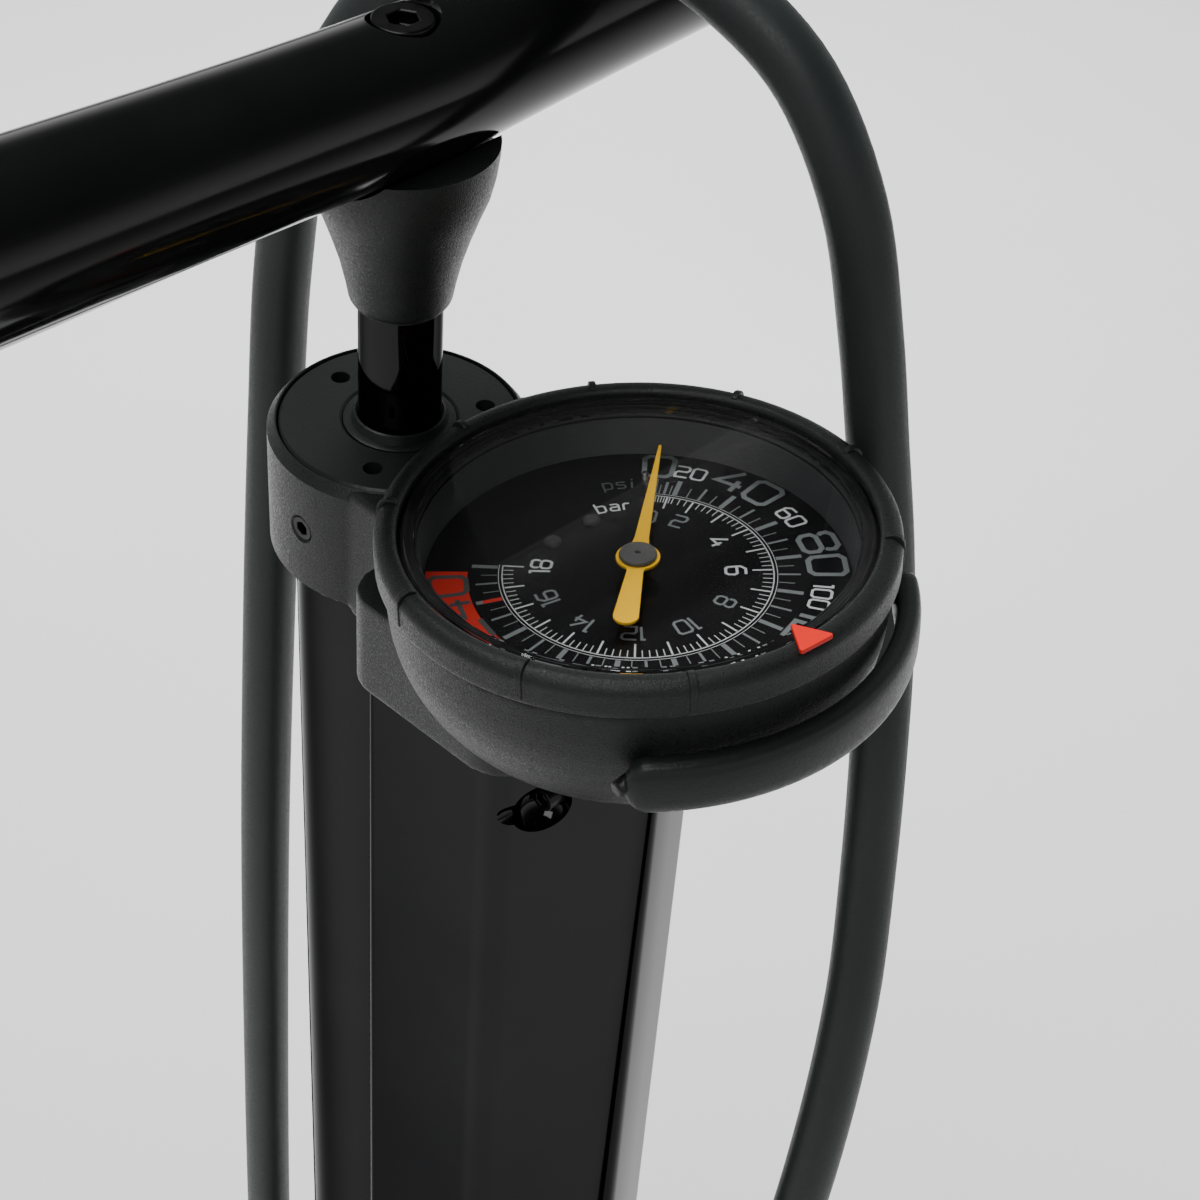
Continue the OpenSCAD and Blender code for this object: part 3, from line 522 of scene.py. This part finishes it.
def make_head():
    """The CAD head, remeshed finely and softened, and over it the collar's finer skin."""
    src = NODES["head_housing"]
    mesh = src.data.copy()
    obj = bpy.data.objects.new("head_skin", mesh)
    bpy.context.scene.collection.objects.link(obj)
    w = obj.modifiers.new("weld", "WELD")
    w.merge_threshold = 1e-6
    r = obj.modifiers.new("remesh", "REMESH")
    r.mode = "VOXEL"
    r.voxel_size = 0.75 * MM
    s = obj.modifiers.new("soften", "SMOOTH")
    s.factor = 0.5
    s.iterations = 5
    bpy.context.view_layer.update()
    done = bpy.data.meshes.new_from_object(obj.evaluated_get(bpy.context.evaluated_depsgraph_get()))
    obj.modifiers.clear()
    obj.data = done
    finish_mesh(obj, MATS["moulded"], "frame", 50)
    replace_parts(obj, "head_housing")
    bm = bmesh.new()
    z0, z1, r = HEAD - 28, HEAD, 25.5
    lathe(bm, [(20.7, z0 + 0.4), (21.1, z0), (r - 0.6, z0), (r, z0 + 0.6), (r, z1 - 2), (r - 1.4, z1 - 0.15),
               (r - 1.6, z1), (23.75, z1), (23.6, z1 - 0.2), (23.6, z1 - 7.9), (20.7, z1 - 7.9)], 160)
    collar = from_bmesh(bm, "collar_skin", MATS["moulded"], "frame")
    gauge_room = [(0, -28), (CASE_ROOM_R, -28), (CASE_ROOM_R, -7.9), (BEZEL_ROOM_R, -7.9),
                  (BEZEL_ROOM_R, 30), (0, 30)]
    carve(collar, cutter(gauge_room, 96, place=GAUGE))
    screw_hole = [(0, 0), (2.6, 0), (2.6, 5.0), (3.2, 5.6), (3.2, 8), (0, 8)]
    to_the_left = Matrix.Translation((-20, 0, HEAD - 14)) @ Matrix.Rotation(math.pi, 4, "Z")
    carve(collar, cutter(screw_hole, 48, "X", move=to_the_left))
    finish_mesh(collar, MATS["moulded"], "frame")


make_head()


# ------------------------------------------------------------------ gauge

# Heights along the gauge's axis, from its frame's origin just above the bezel
DIAL_Z = -13.4  # the dial's face
PRINT_Z = -13.36
NEEDLE_Z = -10.2  # the needle's underside
HUB_Z = -9.6  # the needle's top, where its cap stands
RIVETS_R = 18.1


def gauge_piece(bm, name, mat, body, node=None, angle=35):
    """A piece modelled in the gauge's own frame; node names the CAD piece it replaces."""
    obj = from_bmesh(bm, name, mat, body, GAUGE, angle)
    if node:
        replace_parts(obj, node)
    return obj


def make_bezel():
    bm = bmesh.new()
    profile = ([(42.4, -7.6), (46.0, -7.6)] + arc(46.2, -6.9, 0.7, -90, 0, 3)[1:]
               + [(46.9, -6.0), (46.9, -3.6)] + arc(44.5, -3.0, 2.4, 0, 90, 8)
               + [(43.7, -0.65), (43.2, -0.8), (42.85, -1.15), (42.7, -1.6), (42.7, -2.7),
                  (43.9, -2.7), (43.9, -6.9), (42.4, -6.9)])
    lathe(bm, profile, 240)
    gauge_piece(bm, "bezel_skin", MATS["moulded"], "bezel", "bezel_ring", 40)
    ribs = bmesh.new()
    shape = [(43.5, -1.4), (43.2, -0.6), (43.9, -0.1), (45.0, 0.1), (46.2, -0.4), (46.95, -1.4),
             (47.1, -2.6), (47.1, -6.6), (46.7, -6.8), (46.7, -3.0), (44.8, -1.0)]
    half_rib = 0.65
    for i in range(1, 10):
        bar = bmesh.new()
        front = [bar.verts.new((x, -half_rib, z)) for x, z in shape]
        rear = [bar.verts.new((x, half_rib, z)) for x, z in shape]
        bar.faces.new(front)
        bar.faces.new(list(reversed(rear)))
        for j in range(len(shape)):
            k = (j + 1) % len(shape)
            bar.faces.new((front[j], rear[j], rear[k], front[k]))
        bar.transform(Matrix.Rotation(math.radians(-90 + 36 * i), 4, "Z"))
        add_part(ribs, bar)
    rib = gauge_piece(ribs, "bezel_ribs", MATS["moulded"], "bezel")
    bevel(rib, 0.3)


def turned(points, angle):
    a = math.radians(angle)
    return [(x * math.cos(a) - y * math.sin(a), x * math.sin(a) + y * math.cos(a)) for x, y in points]


def make_marker():
    bm = bmesh.new()
    triangle = rounded_outline([(39.9, 0), (46.8, -3.9), (46.8, 3.9)], [0.3, 0.5, 0.5])
    prism(bm, turned(triangle, -98), -0.62, 0.25)
    obj = gauge_piece(bm, "marker_skin", MATS["red"], "bezel", "pressure_marker")
    bevel(obj, 0.2)


def make_lens():
    bm = bmesh.new()
    lathe(bm, [(0, -3.2), (39.5, -3.2), (39.75, -3.3), (39.8, -3.5), (39.8, -5.2), (42.0, -5.2), (42.0, -2.3),
               (41.8, -1.85), (41.4, -1.6), (40.9, -1.5), (0, -1.5)], 192)
    gauge_piece(bm, "lens_skin", MATS["clear"], "frame", "gauge_lens", 8)


def make_needle():
    bm = bmesh.new()
    tail = arc(0, -17.3, 2.3, 178, 362, 14)
    right_hub = arc(0, 0, 4.0, -66, 66, 14)
    left_hub = arc(0, 0, 4.0, 114, 246, 14)
    outline = tail[:-1] + [(1.5, -4.4)] + right_hub + [(1.3, 6), (0.28, 36), (-0.28, 36), (-1.3, 6)] \
        + left_hub + [(-1.5, -4.4)]
    prism(bm, turned(outline, -54), NEEDLE_Z, HUB_Z)
    obj = gauge_piece(bm, "needle_skin", MATS["amber"], "pointer", "gauge_needle")
    bevel(obj, 0.12)
    bm = bmesh.new()
    lathe(bm, [(0, HUB_Z), (3.4, HUB_Z), (3.45, -9.1), (3.3, -8.85), (3.0, -8.75), (0.7, -8.7), (0.5, -8.85),
               (0.45, -9.2), (0, -9.3)], 64)
    gauge_piece(bm, "needle_cap_skin", CAP_STEEL, "pointer", "needle_cap")


def make_dial():
    bm = bmesh.new()
    lathe(bm, [(0, -14.2), (38.3, -14.2), (38.4, -14.1), (38.4, -13.5), (38.3, DIAL_Z), (0, DIAL_Z)], 160)
    gauge_piece(bm, "dial_skin", MATS["dial"], "frame", "dial_plate")
    bm = bmesh.new()
    for a in (71, 102):
        part = bmesh.new()
        lathe(part, [(0, DIAL_Z), (1.75, DIAL_Z), (1.75, -13.2), (1.5, -12.75), (1.0, -12.45),
                     (0, -12.35)], 40)
        part.transform(round_centre(RIVETS_R, a))
        add_part(bm, part)
    gauge_piece(bm, "rivet_skins", RIVET, "frame", "dial_rivets")


# Strokes of the dial's characters on a grid 4 wide and 6 tall
GLYPHS = {
    "0": [([(0.7, 0), (3.3, 0), (4, 0.8), (4, 5.2), (3.3, 6), (0.7, 6), (0, 5.2), (0, 0.8)], True)],
    "1": [([(1.1, 6), (2.1, 6), (2.1, 0)], False)],
    "2": [([(0, 6), (3.3, 6), (4, 5.3), (4, 3.9), (3.3, 3.1), (0.7, 3.1), (0, 2.3), (0, 0), (4, 0)], False)],
    "4": [([(4, 2), (0, 2), (2.9, 6)], False), ([(3.1, 3.4), (3.1, 0)], False)],
    "6": [([(3.7, 6), (1.2, 6), (0, 4.6), (0, 0.8), (0.7, 0), (3.3, 0), (4, 0.8), (4, 2.6), (3.3, 3.4),
            (0.3, 3.4)], False)],
    "8": [([(0.7, 0), (3.3, 0), (4, 0.8), (4, 2.4), (3.3, 3.1), (0.7, 3.1), (0, 2.4), (0, 0.8)], True),
          ([(0.5, 3.7), (0.2, 4.2), (0.2, 5.2), (0.9, 6), (3.1, 6), (3.8, 5.2), (3.8, 4.2),
            (3.5, 3.7)], False)],
    "b": [([(0, 6), (0, 0), (2.6, 0), (3.3, 0.7), (3.3, 3.3), (2.6, 4), (0.5, 4)], False)],
    "a": [([(0.3, 4), (2.6, 4), (3.3, 3.3), (3.3, 0), (0.7, 0), (0, 0.6), (0, 1.6), (0.7, 2.2),
            (2.8, 2.2)], False)],
    "r": [([(0, 0), (0, 3.3), (0.7, 4), (2.2, 4)], False)],
    "p": [([(0, -1.8), (0, 4), (2.6, 4), (3.3, 3.3), (3.3, 0.7), (2.6, 0), (0.5, 0)], False)],
    "s": [([(3.2, 4), (0.6, 4), (0, 3.4), (0, 2.7), (0.6, 2.1), (2.7, 2.1), (3.3, 1.5), (3.3, 0.7),
            (2.7, 0), (0, 0)], False)],
    "i": [([(0.6, 0), (0.6, 4)], False), ([(0.6, 5), (0.6, 5.9)], False)],
}
ADVANCE = {"1": 3.6, "r": 3.4, "i": 2.2}  # widths of the narrow characters, on the same grid
PSI_PER_BAR = 14.504
FULL_SCALE = 261  # psi, which is 18 bar


def ribbon(bm, points, width, closed, z):
    """Flat stroke with mitred corners."""
    p = [Vector(q) for q in points]
    n = len(p)
    sides = []
    for i in range(n):
        before = p[i] - p[i - 1] if (i or closed) else p[1] - p[0]
        after = p[(i + 1) % n] - p[i] if (i < n - 1 or closed) else p[-1] - p[-2]
        before, after = before.normalized(), after.normalized()
        across = Vector((-before.y - after.y, before.x + after.x)).normalized()
        reach = width / 2 / max(0.5, across.dot(Vector((-before.y, before.x))))
        sides.append((p[i] + across * reach, p[i] - across * reach))
    verts = [(bm.verts.new((*a, z)), bm.verts.new((*b, z))) for a, b in sides]
    for i in range(n if closed else n - 1):
        a, b = verts[i], verts[(i + 1) % n]
        bm.faces.new((a[0], a[1], b[1], b[0]))


def write(bm, text, angle, radius, height, stroke, z, stretch=1.0):
    """Characters along a circle, their tops outwards, read clockwise."""
    unit = height / 6
    widths = [ADVANCE.get(c, 5.2) * unit * stretch for c in text]
    at = -sum(widths) / 2 + 0.6 * unit * stretch
    for c, w in zip(text, widths):
        for points, closed in GLYPHS[c]:
            out = []
            for x, y in points:
                along = at + x * unit * stretch
                r = radius + (y - 3) * unit
                a = math.radians(angle) - along / radius
                out.append((r * math.cos(a), r * math.sin(a)))
            ribbon(bm, out, stroke, closed, z)
        at += w


def tick(bm, angle, r0, r1, width, z):
    a = math.radians(angle)
    out = Vector((math.cos(a), math.sin(a)))
    side = Vector((-math.sin(a), math.cos(a))) * width / 2
    corners = [out * r0 - side, out * r1 - side, out * r1 + side, out * r0 + side]
    bm.faces.new([bm.verts.new((*c, z)) for c in corners])


def band(bm, a0, a1, r0, r1, z, steps):
    rows = []
    for i in range(steps + 1):
        a = math.radians(a0 + (a1 - a0) * i / steps)
        rows.append([bm.verts.new((r * math.cos(a), r * math.sin(a), z)) for r in (r0, r1)])
    for a, b in zip(rows, rows[1:]):
        bm.faces.new((a[0], a[1], b[1], b[0]))


def psi_angle(v):
    """The scale is cramped below its 20 psi mark and even above it."""
    return 36 - 0.44 * v if v < 20 else 27.2 - 1.0757 * (v - 20)


def make_print():
    """Bar scale inside, psi scale outside with its red zone at the end."""
    z = PRINT_Z
    white, grey, dim, red = (bmesh.new() for _ in range(4))
    for i in range(91):
        a = psi_angle(i * 0.2 * PSI_PER_BAR)
        long = i % 5 == 0
        tick(white, a, 20.6 if long else 22.4, 24.2, 0.36 if long else 0.18, z)
    start = psi_angle(0) + 0.5
    end = psi_angle(FULL_SCALE) - 0.5
    band(white, start, end, 24.3, 24.52, z, 160)
    band(white, start, end, 25.0, 25.12, z, 160)
    for v in range(0, 19, 2):
        write(white if v in (4, 6, 18) else grey, str(v), psi_angle(v * PSI_PER_BAR), 17.6, 3.6, 0.5, z)
    for i in range(53):
        psi = 5 * i
        a = psi_angle(psi)
        if psi % 20 == 0:
            tick(grey, a, 25.3, 30.0, 0.95, z)
        elif psi % 10 == 0:
            tick(grey, a, 25.3, 29.2, 0.5, z)
        else:
            tick(grey, a, 25.3, 28.2, 0.22, z)
    for v in range(0, 221, 20):
        a = psi_angle(v) - (2 if v == 20 else 0)
        if v % 40 == 0:
            write(grey, str(v), a, 34.2, 6.6, 1.0, z, 1.25)
        elif v < 200:
            write(white, str(v), a, 33.2, 3.5, 0.5, z, 1.05)
    band(red, psi_angle(219), psi_angle(257), 30.6, 38.2, z, 40)
    tick(red, psi_angle(240), 25.3, 28.8, 0.9, z + 0.01)
    write(dim, "240", psi_angle(239), 34.2, 6.6, 1.0, z + 0.03, 1.25)
    write(white, "bar", 55.7, 21.3, 3.0, 0.4, z)
    write(dim, "psi", 50.5, 28.3, 3.0, 0.4, z)
    gauge_piece(white, "print_white", PRINT_WHITE, "frame")
    gauge_piece(grey, "print_grey", PRINT_GREY, "frame")
    gauge_piece(dim, "print_dim", PRINT_DIM, "frame")
    gauge_piece(red, "print_red", PRINT_RED, "frame")


make_bezel()
make_marker()
make_lens()
make_needle()
make_dial()
make_print()


# ------------------------------------------------------------------ release lever

def make_lever():
    """Bar of rounded section bent round the gauge, with rounded ends."""
    bm = bmesh.new()
    middle_r, middle_z, half_w, half_h = 48.7, -19.9, 2.3, 5.3
    end = math.radians(50)
    steps = 72
    sides = 24
    end_round = 4  # length of each rounded end
    section = []
    for i in range(sides):
        a = 2 * math.pi * i / sides
        c, s = math.cos(a), math.sin(a)
        section.append((half_w * math.copysign(abs(c) ** 0.6, c), half_h * math.copysign(abs(s) ** 0.6, s)))
    rings = []
    for i in range(steps + 1):
        t = -1 + 2 * i / steps
        a = -math.pi / 2 + t * end
        left = (1 - abs(t)) * end * middle_r
        k = 1.0 if left > end_round else math.sqrt(max(0.03, 1 - (1 - left / end_round) ** 2))
        ring = []
        for x, z in section:
            r = middle_r + x * (0.45 + 0.55 * k)
            ring.append(bm.verts.new((r * math.cos(a), r * math.sin(a), middle_z + z * k)))
        rings.append(ring)
    skin(bm, rings)
    gauge_piece(bm, "lever_skin", MATS["moulded_satin"], "lever", "release_lever", 45)


make_lever()


# ------------------------------------------------------------------ handle

ARM_RISE = 3.2  # degrees that each arm rises
HANDLE_Z = HEAD + 70.5  # the arms' middle line, at the rod
BEND = 6  # how gently the middle line turns up at the rod


def make_handle():
    """Both arms as one tube whose middle line bends smoothly up on each side."""
    h = 128.0
    sides = 96
    arm = [(h, 9.1), (h, 14.0), (h - 0.6, 14.8), (h - 3, 15.4), (h - 8, 15.85), (h - 16, 15.9),
           (100, 15.5), (76, 15.0), (50, 14.5), (30, 14.25), (18, 14.2), (9, 14.2)]
    line = arm + [(0, 14.2)] + [(-x, r) for x, r in reversed(arm)]
    tilt = math.tan(math.radians(ARM_RISE))
    bm = bmesh.new()
    rings = []
    for x, r in line:
        reach = math.sqrt(x * x + BEND * BEND)
        rise = tilt * (reach - BEND)
        lean = math.atan(tilt * x / reach)
        ring = []
        for i in range(sides):
            a = 2 * math.pi * i / sides
            y, z = r * math.cos(a), r * math.sin(a)
            ring.append(bm.verts.new((x - z * math.sin(lean), y, HANDLE_Z + rise + z * math.cos(lean))))
        rings.append(ring)
    skin(bm, rings)
    obj = from_bmesh(bm, "grip_skin", MATS["gloss_plastic"], "plunger")
    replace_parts(obj, "handle_shell")
    bolt_hole = [(0, 9.1), (6.2, 9.1), (6.2, 13.2), (7.0, 14.4), (7.0, 24), (0, 24)]
    rod_hole = [(0, -24), (8.1, -24), (8.1, -9.2), (0, -9.2)]
    for hole in (bolt_hole, rod_hole):
        carve(obj, cutter([(r, HANDLE_Z + z) for r, z in hole], 48))
    finish_mesh(obj, MATS["gloss_plastic"], "plunger")


def make_cone():
    z = HEAD + 27
    grip_r = 14.3
    bm = bmesh.new()
    lathe(bm, [(8.1, z), (8.6, z)] + arc(7.4, z + 2.4, 2.4, -60, -12, 4)
          + [(10.3, z + 5), (11.4, z + 10), (12.9, z + 15), (14.6, z + 20), (16.1, z + 24), (17.0, z + 28),
             (17.5, z + 32), (17.6, z + 34.1), (8.1, z + 34.1)], 160)
    obj = from_bmesh(bm, "cone_skin", MATS["moulded"], "plunger")
    carve(obj, cutter([(0, -60), (grip_r, -60), (grip_r, 60), (0, 60)], 96, "X",
                      place=Matrix.Translation((0, 0, HANDLE_Z * MM))))
    finish_mesh(obj, MATS["moulded"], "plunger")
    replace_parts(obj, "hub_cone")


make_handle()
make_cone()


# ------------------------------------------------------------------ carried-over pieces

# Width of the broken edge on each CAD piece that shows; inner pieces keep theirs sharp
EDGES = {
    "base_plate": 1.6, "rubber_feet": 1.2, "foot_treads": 0.5, "base_casting": 1.2, "base_bolts": 0.4,
    "chamber_tube": 0.25, "chamber_screws": 0.15, "collar_screw": 0.15, "chuck_holder": 0.8,
    "hose_elbow": 0.5, "hose_ferrule": 0.5, "chuck_ferrule": 0.5, "chuck_body": 0.7, "chuck_nut": 0.5,
    "chuck_lever": 0.8,
    "chuck_pin": 0.2, "handle_end_caps": 0.6, "handle_bolt": 0.4,
}
BLACKENED = {"chamber_screws", "collar_screw", "lever_pins", "handle_bolt", "base_bolts"}
REPLACED = {n for o in bpy.data.objects for n in o.get("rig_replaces", [])}
for n in sorted(NODES):
    if n not in REPLACED:
        dress(n, EDGES.get(n, 0), DARK_STEEL if n in BLACKENED else MATS[SLOT[n]])


# ------------------------------------------------------------------ floor and light

KEY_WATTS = 62
FILL_WATTS = 9
TOP_WATTS = 8
HEAD_PLACE = (0, -0.05, 0.6)  # metres, what the fill and the top light are aimed at


def make_stage():
    m, nodes, links, p = material("pale floor")
    n = noise(nodes, links, 3, 2)
    links.new(ramp(nodes, links, n.outputs["Fac"], [(0.3, (0.86, 0.86, 0.86)), (0.7, (0.9, 0.9, 0.9))]),
              p.inputs["Base Color"])
    p.inputs["Roughness"].default_value = 0.9
    p.inputs["Specular IOR Level"].default_value = 0.1
    mesh = bpy.data.meshes.new("floor")
    mesh.from_pydata([(-6, -6, 0), (6, -6, 0), (6, 6, 0), (-6, 6, 0)], [], [(0, 1, 2, 3)])
    mesh.materials.append(m)
    floor = bpy.data.objects.new("floor", mesh)
    bpy.context.scene.collection.objects.link(floor)


def area(name, place, target, size, power, in_gloss=True):
    """A soft light that glass doesn't show; in_gloss lets shiny pieces show it."""
    light = bpy.data.lights.new(name, "AREA")
    light.shape = "RECTANGLE"
    light.size, light.size_y = size
    light.energy = power
    obj = bpy.data.objects.new(name, light)
    bpy.context.scene.collection.objects.link(obj)
    obj.location = place
    obj.rotation_euler = (Vector(target) - Vector(place)).to_track_quat("-Z", "Y").to_euler()
    obj.visible_glossy = in_gloss
    obj.visible_transmission = False


def make_world():
    """Dim room overhead, pale towards the horizon."""
    world = bpy.data.worlds.new("studio")
    bpy.context.scene.world = world
    world.use_nodes = True
    nodes, links = world.node_tree.nodes, world.node_tree.links
    coord = nodes.new("ShaderNodeTexCoord")
    split = nodes.new("ShaderNodeSeparateXYZ")
    links.new(coord.outputs["Generated"], split.inputs["Vector"])
    colour = ramp(nodes, links, split.outputs["Z"],
                  [(0.0, (0.85,) * 3), (0.12, (0.6,) * 3), (0.34, (0.12,) * 3), (0.5, (0.045,) * 3),
                   (1.0, (0.03,) * 3)])
    background = nodes["Background"]
    links.new(colour, background.inputs["Color"])
    background.inputs["Strength"].default_value = 1.0


make_stage()
make_world()
area("key", (0.75, 0.65, 1.7), (0.95, 0.85, 0), (1.2, 1.2), KEY_WATTS, in_gloss=False)
area("fill", (-1.1, -0.5, 1.9), HEAD_PLACE, (0.9, 0.9), FILL_WATTS)
area("top", (-0.2, 0.5, 2.1), HEAD_PLACE, (0.8, 0.5), TOP_WATTS)
